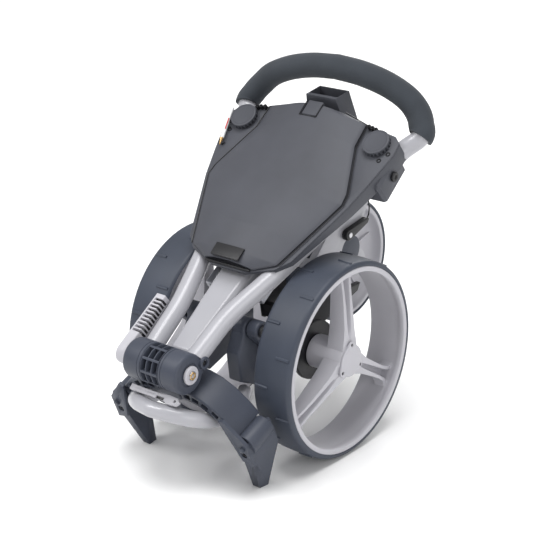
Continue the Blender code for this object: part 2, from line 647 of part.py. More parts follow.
def make_lower_bracket():
    """The lower bag bracket: a black yoke that folds away with the fork."""
    outline = [(0.040, 0.152), (0.150, 0.184), (0.156, 0.196), (0.110, 0.196), (0.084, 0.224),
               (0.066, 0.224), (0.054, 0.186), (0.036, 0.176)]
    yoke = plate("lower_bag_bracket", outline, 0.0410, 0.0500, BLACK, bevel=0.001)
    other = plate("yoke_left", outline, -0.0500, -0.0410, BLACK, bevel=0.001)
    fuse(yoke, other, block("yoke_bar", (-0.0450, 0.037, 0.156), (0.0450, 0.0515, 0.174), BLACK))


# Assembly

def pivot_empty(name, place, pieces, origin):
    """An empty on a joint's axis, which carries the pieces that turn about it."""
    empty = bpy.data.objects.new(name, None)
    TROLLEY.objects.link(empty)
    empty.location = place
    empty.empty_display_size = 0.02
    empty.parent = origin
    for piece in pieces:
        made = bpy.data.objects[piece]
        made.parent = empty
        made.matrix_parent_inverse = Matrix.Translation(-Vector(place))
    return empty


def main():
    make_beam()
    make_hinge()
    make_rails()
    make_leg_mounts()
    make_bracket()
    make_hoop()
    make_front_hinge()
    path = make_handle()
    make_console(path)
    make_lid()
    make_pocket()
    make_pencil()
    make_clamp_lever()
    make_wings()
    make_hook()
    for side, s in SIDES.items():
        make_leg(side, s)
        make_wheel(side, s)
    make_fork()
    make_lower_bracket()

    origin = bpy.data.objects.new("trolley_origin", None)
    TROLLEY.objects.link(origin)
    origin.location = (0, AXLE_Y, 0)
    pivots = {
        "handle_fold": (BARREL, ["hinge_drum_left", "hinge_drum_right", "handle_tube", "foam_grip",
                                 "console_base", "console_deck", "rear_pocket", "console_bolt_left",
                                 "console_bolt_right", "pencil_clip", "lid_pin"]),
        "lid_hinge": (on_console(0, *LID_PIN), ["console_lid", "badge_plate"]),
        "latch_hinge": (on_console(0, *LATCH_PIN), ["lid_latch"]),
        "pencil_slide": (pencil_ends()[0], ["score_pencil"]),
        "clamp_pivot": (BARREL, ["clamp_lever"]),
        "fork_fold": (FORK_PIVOT, ["front_fork", "front_axle", "lower_bag_bracket"]),
        "front_spin": (FRONT_CENTRE, ["front_rim", "front_tyre"]),
        "fork_lever_pivot": (FORK_LEVER_PIVOT, ["fork_lever"]),
        "hook_pivot": (HOOK_PIVOT, ["strap_hook"]),
    }
    for side, s in SIDES.items():
        pivots[f"cap_twist_{side}"] = (on_console(s * 0.120, 0.2285, DECK_N), [f"accessory_cap_{side}"])
        pivots[f"leg_fold_{side}"] = (LEG_PIVOT, [f"leg_{side}", f"axle_{side}", f"brake_cable_{side}"])
        pivots[f"wheel_spin_{side}"] = (Vector((0, 0, WHEEL_RADIUS)), [
            f"rim_{side}", f"tyre_{side}", f"hub_cap_{side}", f"brake_ring_{side}"])
        wing_pivot = BRACKET @ Vector((s * WING_PIN_X, WING_PIN_Q, 0.127))
        pivots[f"wing_swing_{side}"] = (wing_pivot, [f"wing_{side}"])
    for name, (place, pieces) in pivots.items():
        pivot_empty(name, place, pieces, origin)
    for made in list(TROLLEY.objects):
        if made.parent is None and made is not origin:
            made.parent = origin
    bpy.context.view_layer.update()


main()
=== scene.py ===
"""Looks of the folded golf trolley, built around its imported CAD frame."""
import json
from math import atan2, cos, pi, radians, sin

import bmesh
import bpy
from mathutils import Matrix, Vector

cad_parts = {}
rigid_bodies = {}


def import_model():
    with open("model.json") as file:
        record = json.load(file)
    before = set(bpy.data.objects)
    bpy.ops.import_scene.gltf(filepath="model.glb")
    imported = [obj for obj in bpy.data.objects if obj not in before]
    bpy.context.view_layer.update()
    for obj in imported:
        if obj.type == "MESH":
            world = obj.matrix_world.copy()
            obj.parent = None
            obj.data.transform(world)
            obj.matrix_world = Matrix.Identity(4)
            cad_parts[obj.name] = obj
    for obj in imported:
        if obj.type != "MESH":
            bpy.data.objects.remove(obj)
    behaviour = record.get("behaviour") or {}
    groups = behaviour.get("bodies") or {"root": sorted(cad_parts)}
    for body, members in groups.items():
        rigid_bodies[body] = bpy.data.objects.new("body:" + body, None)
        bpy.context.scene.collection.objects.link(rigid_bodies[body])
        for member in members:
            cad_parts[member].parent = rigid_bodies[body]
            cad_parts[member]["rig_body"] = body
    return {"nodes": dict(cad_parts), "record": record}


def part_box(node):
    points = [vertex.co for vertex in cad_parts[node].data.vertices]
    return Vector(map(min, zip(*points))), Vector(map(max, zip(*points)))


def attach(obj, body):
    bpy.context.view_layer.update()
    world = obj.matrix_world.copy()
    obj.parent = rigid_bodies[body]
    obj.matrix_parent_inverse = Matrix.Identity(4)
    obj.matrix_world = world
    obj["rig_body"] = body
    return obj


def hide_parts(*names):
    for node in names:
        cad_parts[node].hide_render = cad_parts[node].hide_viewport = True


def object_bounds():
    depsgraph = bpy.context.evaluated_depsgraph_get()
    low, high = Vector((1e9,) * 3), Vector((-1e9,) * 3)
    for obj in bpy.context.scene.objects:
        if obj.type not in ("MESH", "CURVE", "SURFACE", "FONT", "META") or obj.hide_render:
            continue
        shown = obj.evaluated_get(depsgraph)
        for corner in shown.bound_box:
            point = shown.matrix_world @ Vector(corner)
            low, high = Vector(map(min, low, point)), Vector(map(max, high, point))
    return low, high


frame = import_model()
CAD_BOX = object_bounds()
NODES = frame["nodes"]
SLOT_OF = {part["node"]: part["material_slot"] for part in frame["record"]["subparts"]}
SIDES = {"left": -1, "right": 1}


# The frame's own places. Lengths are in metres.

def middle(node):
    low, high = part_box(node)
    return (low + high) / 2


AXLE_Y = middle("tyre_right").y
WHEEL_RADIUS = middle("tyre_right").z
BARREL = Vector((0, middle("hinge_bolt").y, middle("hinge_bolt").z))
BARREL_RADIUS = 0.0285
FRONT_CENTRE = Vector((0, middle("front_axle").y, middle("front_axle").z))

DECK = -0.022
LID_EDGE = 0.004
LID_CROWN = 0.018
WING_PIN = (0.117, 0.1514)
KNUCKLE_RADIUS = 0.0158
SPOKE_ANGLES = (90, 210, 330)
SPOKE_BACK = 0.1170
PENCIL_RADIUS = 0.0032
TUBE_RADIUS = 0.0135
FOAM_RADIUS = 0.0185


def at(x, y, z):
    """A place given from the rear axle's line, in the row frame."""
    return Vector((x, y + AXLE_Y, z))


SIDE_ON = Matrix(((0, 0, 1, 0), (1, 0, 0, 0), (0, 1, 0, 0), (0, 0, 0, 1)))
CONSOLE = Matrix.Translation(at(0, -0.098, 0.3055)) @ Matrix.Rotation(radians(40.2), 4, "X")
BRACKET = Matrix.Translation(at(0, 0, 0)) @ Matrix.Rotation(radians(113), 4, "X")
HOOK = Matrix.Translation(at(-0.040, -0.2445, 0.1400)) @ Matrix.Rotation(radians(45), 4, "X")
AXLE = at(0, 0, WHEEL_RADIUS)


def on_console(x, y, z):
    return CONSOLE @ Vector((x, y, z))


def on_bracket(x, y, z):
    return BRACKET @ Vector((x, y, z))


# Camera and light

def make_camera():
    data = bpy.data.cameras.new("camera")
    data.lens = 94.9
    camera = bpy.data.objects.new("camera", data)
    bpy.context.scene.collection.objects.link(camera)
    back = Vector((0.5884, -0.7284, 0.3512))
    camera.location = at(0, 0.0118, 0.2379) + back * 2.104
    camera.rotation_euler = (-back).to_track_quat("-Z", "Y").to_euler()
    bpy.context.scene.camera = camera


def area_light(name, place, aim, size, power):
    data = bpy.data.lights.new(name, "AREA")
    data.shape = "DISK"
    data.size = size
    data.energy = power
    light = bpy.data.objects.new(name, data)
    light.location = place
    light.rotation_euler = (Vector(aim) - Vector(place)).to_track_quat("-Z", "Y").to_euler()
    bpy.context.scene.collection.objects.link(light)


def make_studio():
    aim = (0, 0, 0.25)
    area_light("key", (-1.2, -1.5, 2.2), aim, 1.0, 26)
    area_light("fill", (2.3, -0.9, 1.2), aim, 1.8, 16)
    area_light("rim", (-0.8, 2.2, 1.5), aim, 1.2, 16)
    data = bpy.data.lights.new("sky", "SUN")
    data.energy = 2.1
    data.angle = radians(35)
    sky = bpy.data.objects.new("sky", data)
    sky.rotation_euler = Vector((-0.05, 0.10, -1)).to_track_quat("-Z", "Y").to_euler()
    bpy.context.scene.collection.objects.link(sky)
    world = bpy.data.worlds.new("studio")
    bpy.context.scene.world = world
    world.use_nodes = True
    world.node_tree.nodes["Background"].inputs["Color"].default_value = (1, 1, 1, 1)
    tree = world.node_tree
    lit = tree.nodes["Background"]
    lit.inputs["Strength"].default_value = 0.50
    seen = tree.nodes.new("ShaderNodeBackground")
    seen.inputs["Color"].default_value = (1, 1, 1, 1)
    rays = tree.nodes.new("ShaderNodeLightPath")
    either = tree.nodes.new("ShaderNodeMixShader")
    tree.links.new(rays.outputs["Is Camera Ray"], either.inputs["Fac"])
    tree.links.new(lit.outputs["Background"], either.inputs[1])
    tree.links.new(seen.outputs["Background"], either.inputs[2])
    tree.links.new(either.outputs["Shader"], tree.nodes["World Output"].inputs["Surface"])
    bpy.context.scene.view_settings.view_transform = "Standard"
    shape = bmesh.new()
    bmesh.ops.create_grid(shape, x_segments=1, y_segments=1, size=12)
    mesh = bpy.data.meshes.new("floor")
    shape.to_mesh(mesh)
    shape.free()
    floor = bpy.data.objects.new("floor", mesh)
    floor.location = (0, 0, CAD_BOX[0][2])
    bpy.context.scene.collection.objects.link(floor)
    mesh.materials.append(FLOOR)


# Materials: a base colour with slow mottling, fine grain in the bump and uneven roughness.

def surface(name, colour, rough, metallic=0.0, grain=1400, bump=0.12, mottle=0.10, spread=0.08, coat=0.0,
            sheen=0.0, stretch=(1, 1, 1), gloss=0.5):
    made = bpy.data.materials.new(name)
    made.use_nodes = True
    tree = made.node_tree
    new, link = tree.nodes.new, tree.links.new
    shader = tree.nodes["Principled BSDF"]
    shader.inputs["Metallic"].default_value = metallic
    shader.inputs["Coat Weight"].default_value = coat
    shader.inputs["Coat Roughness"].default_value = 0.12
    shader.inputs["Sheen Weight"].default_value = sheen
    shader.inputs["Specular IOR Level"].default_value = gloss
    place = new("ShaderNodeTexCoord")
    scaled = new("ShaderNodeMapping")
    scaled.inputs["Scale"].default_value = stretch
    link(place.outputs["Object"], scaled.inputs["Vector"])

    slow = new("ShaderNodeTexNoise")
    slow.inputs["Scale"].default_value = 16
    slow.inputs["Detail"].default_value = 5
    link(scaled.outputs["Vector"], slow.inputs["Vector"])
    tone = new("ShaderNodeValToRGB")
    tone.color_ramp.elements[0].position = 0.30
    tone.color_ramp.elements[1].position = 0.70
    tone.color_ramp.elements[0].color = (*[c * (1 - mottle) for c in colour], 1)
    tone.color_ramp.elements[1].color = (*[min(1, c * (1 + mottle)) for c in colour], 1)
    link(slow.outputs["Fac"], tone.inputs["Fac"])
    link(tone.outputs["Color"], shader.inputs["Base Color"])

    uneven = new("ShaderNodeMapRange")
    uneven.inputs["To Min"].default_value = rough - spread
    uneven.inputs["To Max"].default_value = rough + spread
    link(slow.outputs["Fac"], uneven.inputs["Value"])
    link(uneven.outputs["Result"], shader.inputs["Roughness"])

    fine = new("ShaderNodeTexNoise")
    fine.inputs["Scale"].default_value = grain
    fine.inputs["Detail"].default_value = 3
    link(scaled.outputs["Vector"], fine.inputs["Vector"])
    relief = new("ShaderNodeBump")
    relief.inputs["Strength"].default_value = bump
    relief.inputs["Distance"].default_value = 0.0004
    link(fine.outputs["Fac"], relief.inputs["Height"])
    link(relief.outputs["Normal"], shader.inputs["Normal"])
    return made


FLOOR = surface("floor_paper", (0.93, 0.93, 0.93), 0.85, grain=300, bump=0.02, mottle=0.004, spread=0.02)
SHELL = surface("textured_shell", (0.064, 0.067, 0.080), 0.48, grain=1800, bump=0.35, gloss=0.30)
CASTING = surface("nylon_casting", (0.050, 0.057, 0.078), 0.46, grain=1100, bump=0.25, gloss=0.32)
BLACK = surface("black_plastic", (0.009, 0.009, 0.011), 0.40, grain=900, bump=0.1, gloss=0.4)
FOAM = surface("closed_cell_foam", (0.042, 0.048, 0.057), 0.92, grain=700, bump=0.9, mottle=0.16, sheen=0.1,
               gloss=0.2)
PAINT = surface("tube_paint", (0.375, 0.375, 0.405), 0.30, grain=500, bump=0.03, mottle=0.02, coat=0.30)
RAIL = surface("anodised_rail", (0.47, 0.48, 0.52), 0.34, metallic=0.8, grain=240, bump=0.1,
               stretch=(6, 1, 1))
RIM = surface("wheel_plastic", (0.45, 0.445, 0.48), 0.40, grain=900, bump=0.10, mottle=0.03, gloss=0.4)
TYRE = surface("tyre_rubber", (0.038, 0.046, 0.066), 0.50, grain=800, bump=0.25, mottle=0.12, gloss=0.4)
STEEL = surface("zinc_steel", (0.55, 0.55, 0.57), 0.30, metallic=1, grain=500, bump=0.06)
BRASS = surface("brass_nut", (0.50, 0.33, 0.15), 0.38, metallic=1, grain=500, bump=0.06)
WHITE = surface("pencil_white", (0.80, 0.80, 0.81), 0.35, grain=500, bump=0.03, mottle=0.02)
RED = surface("red_print", (0.50, 0.03, 0.03), 0.45, grain=500, bump=0.03)
FINISH = {"shell": SHELL, "casting": CASTING, "black": BLACK, "foam": FOAM, "paint": PAINT, "rail": RAIL,
          "rim": RIM, "tyre": TYRE, "steel": STEEL, "white": WHITE}


# Mesh helpers

def add(name, mesh):
    made = bpy.data.objects.new(name, mesh)
    bpy.context.scene.collection.objects.link(made)
    return made


def settle(made):
    """The object's modifiers or curve turned into one plain mesh with welded seams."""
    graph = bpy.context.evaluated_depsgraph_get()
    mesh = bpy.data.meshes.new_from_object(made.evaluated_get(graph))
    mesh.transform(made.matrix_world)
    shape = bmesh.new()
    shape.from_mesh(mesh)
    bmesh.ops.remove_doubles(shape, verts=shape.verts, dist=0.00001)
    bmesh.ops.dissolve_degenerate(shape, edges=shape.edges, dist=0.00001)
    bmesh.ops.recalc_face_normals(shape, faces=shape.faces)
    shape.to_mesh(mesh)
    shape.free()
    name = made.name
    bpy.data.objects.remove(made, do_unlink=True)
    return add(name, mesh)


def from_shape(name, shape):
    bmesh.ops.recalc_face_normals(shape, faces=shape.faces)
    mesh = bpy.data.meshes.new(name)
    shape.to_mesh(mesh)
    shape.free()
    return add(name, mesh)


def finish(made, material, body, replaces=(), smooth_below=35):
    made.data.materials.clear()
    made.data.materials.append(material)
    if made.type == "MESH":
        made.data.shade_smooth()
        made.data.set_sharp_from_angle(angle=radians(smooth_below))
    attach(made, body)
    if replaces:
        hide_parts(*replaces)
    return made


def combine(target, tools, operation):
    for tool in tools:
        step = target.modifiers.new("boolean", "BOOLEAN")
        step.operation = operation
        step.solver = "EXACT"
        step.object = tool
    target = settle(target)
    for tool in tools:
        bpy.data.objects.remove(tool, do_unlink=True)
    return target


def cut(target, *tools):
    return combine(target, tools, "DIFFERENCE")


def fuse(target, *tools):
    return combine(target, tools, "UNION")


def merge(name, pieces):
    """Several separate bodies in one object."""
    shape = bmesh.new()
    for piece in pieces:
        shape.from_mesh(piece.data)
        bpy.data.objects.remove(piece, do_unlink=True)
    return from_shape(name, shape)


def softened(made, width, segments=3, angle=30):
    """Rounded edges, where two faces meet at more than an angle."""
    bevel = made.modifiers.new("edges", "BEVEL")
    bevel.width = width
    bevel.segments = segments
    bevel.limit_method = "ANGLE"
    bevel.angle_limit = radians(angle)
    bevel.use_clamp_overlap = True
    return settle(made)


def copied(node, name):
    """The CAD node's shape as a new object with its flat faces whole again."""
    shape = bmesh.new()
    shape.from_mesh(NODES[node].data)
    bmesh.ops.remove_doubles(shape, verts=shape.verts, dist=0.00002)
    bmesh.ops.dissolve_limit(shape, angle_limit=radians(0.6), verts=shape.verts, edges=shape.edges)
    return from_shape(name, shape)


def body_of(node):
    return NODES[node]["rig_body"]


def refined(node, width=0.0010, segments=3, tools=(), material=None, angle=30):
    """The CAD node with recesses cut into it and its edges rounded, shown in its place."""
    made = copied(node, f"{node}_shape")
    if tools:
        made = cut(made, *tools)
    made = softened(made, width, segments, angle)
    slot = SLOT_OF[node]
    return finish(made, material or FINISH[slot], body_of(node), (node,))


def cylinder(name, start, end, radius, sides=48, end_radius=None):
    start, end = Vector(start), Vector(end)
    run = end - start
    turn = run.to_track_quat("Z", "Y").to_matrix().to_4x4()
    shape = bmesh.new()
    far = radius if end_radius is None else end_radius
    bmesh.ops.create_cone(shape, cap_ends=True, segments=sides, radius1=radius, radius2=far,
                          depth=run.length, matrix=Matrix.Translation((start + end) / 2) @ turn)
    return from_shape(name, shape)


def block(name, low, high, place=Matrix()):
    low, high = Vector(low), Vector(high)
    shape = bmesh.new()
    size = Matrix.Diagonal((*(high - low), 1))
    bmesh.ops.create_cube(shape, size=1, matrix=place @ Matrix.Translation((low + high) / 2) @ size)
    return from_shape(name, shape)


def lathe(name, profile, frame_of, steps=128, bump=None):
    """A closed ring of (radius, height) about a frame's z axis; bump changes a radius by its angle."""
    shape = bmesh.new()
    rings = []
    for i in range(steps):
        turn = 2 * pi * i / steps
        ring = []
        for radius, height in profile:
            r = radius if bump is None else bump(radius, height, turn)
            ring.append(shape.verts.new(frame_of @ Vector((r * cos(turn), r * sin(turn), height))))
        rings.append(ring)
    count = len(profile)
    for i in range(steps):
        here, there = rings[i], rings[(i + 1) % steps]
        for k in range(count):
            j = (k + 1) % count
            shape.faces.new((here[k], here[j], there[j], there[k]))
    bmesh.ops.remove_doubles(shape, verts=shape.verts, dist=0.000001)
    bmesh.ops.dissolve_degenerate(shape, edges=shape.edges, dist=0.000001)
    return from_shape(name, shape)


def loft(name, sections):
    """Closed sections of equal point count, skinned in order and capped."""
    shape = bmesh.new()
    rings = [[shape.verts.new(place) for place in section] for section in sections]
    count = len(rings[0])
    for ring, following in zip(rings, rings[1:]):
        for i in range(count):
            j = (i + 1) % count
            shape.faces.new((ring[i], ring[j], following[j], following[i]))
    shape.faces.new(rings[0])
    shape.faces.new(rings[-1])
    return from_shape(name, shape)


def plate(name, outline, low, high, place=SIDE_ON):
    """A flat outline given thickness, from low to high along its frame's z."""
    shape = bmesh.new()
    base = [shape.verts.new(place @ Vector((x, y, low))) for x, y in outline]
    face = shape.faces.new(base)
    grown = bmesh.ops.extrude_face_region(shape, geom=[face])
    lift = place.to_3x3() @ Vector((0, 0, high - low))
    verts = [v for v in grown["geom"] if isinstance(v, bmesh.types.BMVert)]
    bmesh.ops.translate(shape, verts=verts, vec=lift)
    return from_shape(name, shape)


def pipe(name, points, radius, sides=16, cyclic=False, radii=None):
    """A round tube along points, with flat caps."""
    points = [Vector(p) for p in points]
    curve = bpy.data.curves.new(name, "CURVE")
    curve.dimensions = "3D"
    curve.bevel_depth = radius
    curve.bevel_resolution = max(0, sides // 4 - 1)
    curve.use_fill_caps = not cyclic
    line = curve.splines.new("POLY")
    line.points.add(len(points) - 1)
    for index, place in enumerate(points):
        line.points[index].co = (*place, 1)
        line.points[index].radius = radii[index] if radii else 1
    line.use_cyclic_u = cyclic
    return settle(add(name, curve))


def smooth(points, each):
    ends = [points[0] * 2 - points[1], *points, points[-1] * 2 - points[-2]]
    line = []
    for a, b, c, d in zip(ends, ends[1:], ends[2:], ends[3:]):
        for i in range(each):
            t = i / each
            line.append(0.5 * (2 * b + (c - a) * t + (2 * a - 5 * b + 4 * c - d) * t ** 2
                               + (3 * b - a - 3 * c + d) * t ** 3))
    return [*line, points[-1]]


def both(points):
    return [*points, *[Vector((-p.x, p.y, p.z)) for p in reversed(points[:-1])]]


def between(a, b, share):
    return a + (b - a) * share


def blended(points, place):
    """The value at a place in a list of (place, value), in straight steps."""
    points = sorted(points)
    for (p0, v0), (p1, v1) in zip(points, points[1:]):
        if p0 <= place <= p1:
            return v0 + (v1 - v0) * (place - p0) / (p1 - p0)
    return points[0][1] if place < points[0][0] else points[-1][1]


# Frame: beam, hinge, rails, bracket and hoop

def make_beam():
    refined("main_beam", 0.0024, 4, angle=20)
    for side in SIDES:
        refined(f"fold_rail_{side}", 0.0010)
        refined(f"leg_mount_{side}", 0.0012)
        refined(f"leg_pin_{side}", 0.0007, material=BLACK)
    refined("front_hinge_block", 0.0012)
    refined("front_hinge_pin", 0.0010)


def make_hinge():
    """The barrel: a ribbed core between two turned drums, on a through bolt with a brass nut."""
    pockets = []
    about = Matrix.Translation(BARREL) @ SIDE_ON
    for angle in (84, 124, 164, 204, 244):
        for x in (-0.0102, 0, 0.0102):
            place = about @ Matrix.Rotation(radians(angle), 4, "Z")
            low, high = (0.0165, -0.0080, x - 0.0044), (0.0400, 0.0080, x + 0.0044)
            pockets.append(block("pocket", low, high, place))
    refined("hinge_core", 0.0007, 2, [merge("pockets", pockets)])
    for side, s in SIDES.items():
        profile = [(0.0066, 0.0165), (0.0277, 0.0165), (0.0285, 0.0173), (0.0285, 0.0205), (0.0278, 0.0209),
                   (0.0278, 0.0217), (0.0285, 0.0221), (0.0285, 0.0445), (0.0281, 0.0463), (0.0271, 0.0479),
                   (0.0255, 0.0488), (0.0235, 0.0490), (0.0165, 0.0490), (0.0158, 0.0482), (0.0066, 0.0482)]
        ring = [(r, s * x) for r, x in profile]
        finish(lathe(f"drum_{side}", ring, about, 96), CASTING, "handle", (f"hinge_drum_{side}",))
    refined("hinge_bolt", 0.0006)
    refined("hinge_cap", 0.0006)
    nut = cylinder("bolt_nut", BARREL + Vector((0.0530, 0, 0)), BARREL + Vector((0.0557, 0, 0)), 0.0062, 6)
    socket = cylinder("socket", BARREL + Vector((0.0545, 0, 0)), BARREL + Vector((0.06, 0, 0)), 0.0030, 24)
    finish(softened(cut(nut, socket), 0.0004), BRASS, "frame")
    boss_at = at(0, -0.2020, 0.1870)
    boss = cylinder("pinch_boss", boss_at + Vector((0.0400, 0, 0)), boss_at + Vector((0.0535, 0, 0)), 0.0088)
    bore = cylinder("bore", boss_at + Vector((0.0500, 0, 0)), boss_at + Vector((0.06, 0, 0)), 0.0048)
    finish(softened(cut(boss, bore), 0.0008), CASTING, "handle")
    screw = cylinder("pinch_screw", boss_at + Vector((0.0490, 0, 0)), boss_at + Vector((0.0515, 0, 0)),
                     0.0040, 6)
    finish(softened(screw, 0.0003), BLACK, "handle")


def make_clamp():
    """The light clamp lever, slotted along its top."""
    turn = radians(38)
    along = Matrix.Translation(BARREL) @ SIDE_ON @ Matrix.Rotation(turn, 4, "Z")
    slots = []
    for i in range(10):
        y = 0.030 + 0.0061 * i
        slots.append(block("slot", (y, -0.0040, -0.0712), (y + 0.0040, 0.02, -0.0550), along))
    refined("clamp_lever", 0.0007, 2, [merge("slots", slots)])
    bed = block("clamp_bed", (0.0290, -0.0045, -0.0722), (0.0915, 0.0050, -0.0582), along)
    finish(softened(bed, 0.0003), BLACK, "clamp")


def make_bracket():
    refined("bracket_block", 0.0012)
    top = [(0.0215, 0.2220), (0.040, 0.2215), (0.060, 0.2150), (0.080, 0.2020), (0.097, 0.1830),
           (0.1085, 0.1655)]
    low = [(0.0215, 0.2030), (0.036, 0.2020), (0.052, 0.1985), (0.070, 0.1880), (0.086, 0.1740),
           (0.098, 0.1590)]
    centre = [((a[0] + b[0]) / 2, (a[1] + b[1]) / 2) for a, b in zip(top, low)]
    for side, s in SIDES.items():
        pockets = []
        for share in (0.14, 0.30, 0.46, 0.62, 0.78, 0.92):
            place = share * (len(centre) - 1)
            k = min(int(place), len(centre) - 2)
            (x0, y0), (x1, y1) = centre[k], centre[k + 1]
            t = place - k
            spot = Vector((s * (x0 + (x1 - x0) * t), y0 + (y1 - y0) * t, 0.1475))
            heading = atan2(y1 - y0, s * (x1 - x0))
            frame_of = BRACKET @ Matrix.Translation(spot) @ Matrix.Rotation(heading, 4, "Z")
            pockets.append(block("pocket", (-0.0056, -0.0042, -0.0075), (0.0056, 0.0042, 0.01), frame_of))
        refined(f"bracket_arm_{side}", 0.0010, 3, [merge("pockets", pockets)])
        refined(f"wing_pin_{side}", 0.0008, material=CASTING)
        pin_x, pin_y = s * WING_PIN[0], WING_PIN[1]
        knuckle = cylinder(f"wing_knuckle_{side}", on_bracket(pin_x, pin_y, 0.1040),
                           on_bracket(pin_x, pin_y, 0.1474), KNUCKLE_RADIUS)
        pin_room = cylinder("pin_room", on_bracket(pin_x, pin_y, 0.09), on_bracket(pin_x, pin_y, 0.17),
                            0.0045)
        knuckle = cut(knuckle, pin_room)
        finish(softened(knuckle, 0.0010), CASTING, f"wing_{side}")
        hole_at = Vector((s * 0.1150, 0.1390, 0))
        recess = cylinder("recess", on_bracket(*hole_at.xy, 0.1520), on_bracket(*hole_at.xy, 0.17), 0.0052)
        refined(f"wing_{side}", 0.0036, 5, [recess], angle=20)
        washer = cylinder(f"wing_screw_{side}", on_bracket(*hole_at.xy, 0.1500),
                          on_bracket(*hole_at.xy, 0.1534), 0.0042, 24)
        socket = cylinder("socket", on_bracket(*hole_at.xy, 0.1515), on_bracket(*hole_at.xy, 0.16), 0.0021, 6)
        finish(softened(cut(washer, socket), 0.0004), BLACK, f"wing_{side}")
    half = [at(0.040, -0.106, 0.1075), at(0.052, -0.130, 0.1030), at(0.060, -0.162, 0.1000),
            at(0.0605, -0.195, 0.1035), at(0.053, -0.226, 0.1130), at(0.031, -0.246, 0.1210),
            at(0, -0.254, 0.1230)]
    hoop = softened(pipe("hoop", both(smooth(half, 10)), 0.0115, 32), 0.002)
    finish(hoop, PAINT, "frame", ("bag_hoop",))
    slot = block("slot", (0.0440, -0.0042, 0.0006), (0.0580, 0.0004, 0.01), HOOK)
    groove = block("groove", (0.0040, -0.0004, 0.0016), (0.0400, 0.0008, 0.01), HOOK)
    eye_low, eye_high = HOOK @ Vector((0.0765, 0.0004, -0.01)), HOOK @ Vector((0.0765, 0.0004, 0.01))
    eye = cylinder("eye", eye_low, eye_high, 0.0020, 24)
    refined("strap_hook", 0.0008, 3, [slot, groove, eye])
    inlay = block("hook_inlay", (0.0446, -0.0036, 0.0002), (0.0574, -0.0002, 0.0012), HOOK)
    finish(softened(inlay, 0.0002, 2), BLACK, body_of("strap_hook"))


# Handle: tube, grip and console

def handle_path(each):
    low = on_console(0.066, 0.004, -0.040)
    high = on_console(0.1360, 0.235, -0.0515)
    start = at(0.0370, -0.2105, 0.1865)
    bend = at(0.0425, -0.1430, 0.2325)
    lower = [start, between(start, bend, 0.45), between(start, bend, 0.85), between(bend, low, 0.2),
             between(bend, low, 0.75), between(low, high, 0.05), between(low, high, 0.5), high]
    upper = [at(0.1580, 0.1400, 0.4433), at(0.1525, 0.1500, 0.4600), at(0.1405, 0.1570, 0.4755),
             at(0.1205, 0.1580, 0.4920), at(0.0860, 0.1575, 0.5065), at(0.0440, 0.1560, 0.5160),
             at(0, 0.1550, 0.5198)]
    return smooth([*lower, *upper], each), each * len(lower)


def make_handle():
    half, grip_from = handle_path(10)
    tube = pipe("handle_pipe", both(half), TUBE_RADIUS, 40)
    reach = Vector((0.06, 0, 0))
    room = cylinder("room", BARREL - reach, BARREL + reach, BARREL_RADIUS - 0.0008)
    finish(cut(tube, room), PAINT, "handle", ("handle_tube",))
    grip = pipe("foam_sleeve", both(half[grip_from:]), FOAM_RADIUS, 40)
    bore = pipe("bore", both(half[grip_from - 4:]), TUBE_RADIUS + 0.0004, 40)
    grip = softened(cut(grip, bore), 0.0022, 4)
    finish(grip, FOAM, "handle", ("foam_grip",))


LID_OUTLINE = [(-0.010, 0.040), (0.008, 0.076), (0.036, 0.087), (0.090, 0.108), (0.122, 0.120),
               (0.140, 0.118),
               (0.218, 0.088), (0.256, 0.0865), (0.2675, 0.040)]


def lid_section(y, half_width, crown, drop):
    steps = 130
    across_lid = [half_width * (1 - 2 * i / steps) for i in range(steps + 1)]
    top = []
    for x in across_lid:
        edge = max(0.0, (abs(x) / half_width - 0.95) / 0.05)
        top.append(DECK + LID_EDGE + crown * (1 - (x / half_width) ** 2) - 0.0011 * edge ** 2)
    outer = [on_console(x, y, z) for x, z in zip(across_lid, top)]
    inset = 1 - 0.0022 / half_width
    base = [DECK + LID_EDGE + crown * (1 - (x / half_width) ** 2) - drop for x in across_lid]
    inner = [on_console(x * inset, y, z) for x, z in zip(across_lid, base)]
    return [*outer, *inner[::-1]]


def make_lid():
    sections = []
    rows = 176
    for i in range(rows + 1):
        y = -0.008 + 0.270 * i / rows
        crown = LID_CROWN * (1 - 0.35 * max(0, (0.05 - y) / 0.05))
        sections.append(lid_section(y, blended(LID_OUTLINE, y), crown, 0.0026))
    lid = loft("lid_shell", sections)
    latch_room = block("latch_room", (-0.0140, 0.2415, -0.03), (0.0140, 0.28, 0.03), CONSOLE)
    badge_room = block("badge_room", (-0.0253, -0.0078, -0.0068), (0.0253, 0.0128, 0.01), CONSOLE)
    finish(cut(lid, latch_room, badge_room), SHELL, "lid", ("console_lid",), 22)
    refined("lid_latch", 0.0012)
    rim_points = [(-0.0149, 0.2640), (-0.0149, 0.2404), (0.0149, 0.2404), (0.0149, 0.2640)]
    rim_line = [on_console(x, y, 0.0002) for x, y in rim_points]
    finish(pipe("latch_seal", rim_line, 0.0007, 8), BLACK, "lid")
    refined("badge_plate", 0.0006)
    refined("lid_pin", 0.0005, material=BLACK)


def make_console():
    refined("console_base", 0.0010, 3)
    refined("console_deck", 0.0006, 2)
    refined("rear_pocket", 0.0016, 4)
    half = [Vector((x + 0.0028, y, 0)) for y, x in LID_OUTLINE[1:-1]]
    line = [*half, Vector((0.0420, 0.2702, 0))]
    for side, s in SIDES.items():
        route = [on_console(s * p.x, p.y, DECK + 0.0024) for p in line]
        finish(pipe(f"lid_seal_{side}", route, 0.0009, 8), BLACK, "handle")
        bolt = copied(f"console_bolt_{side}", f"side_bolt_{side}")
        socket = cylinder("socket", on_console(s * 0.1525, 0.201, -0.050),
                          on_console(s * 0.16, 0.201, -0.050), 0.0032, 6)
        bolt = softened(cut(bolt, socket), 0.0007)
        finish(bolt, BLACK, "handle", (f"console_bolt_{side}",))
        make_cap(side, s)
        make_tee_holes(side, s)


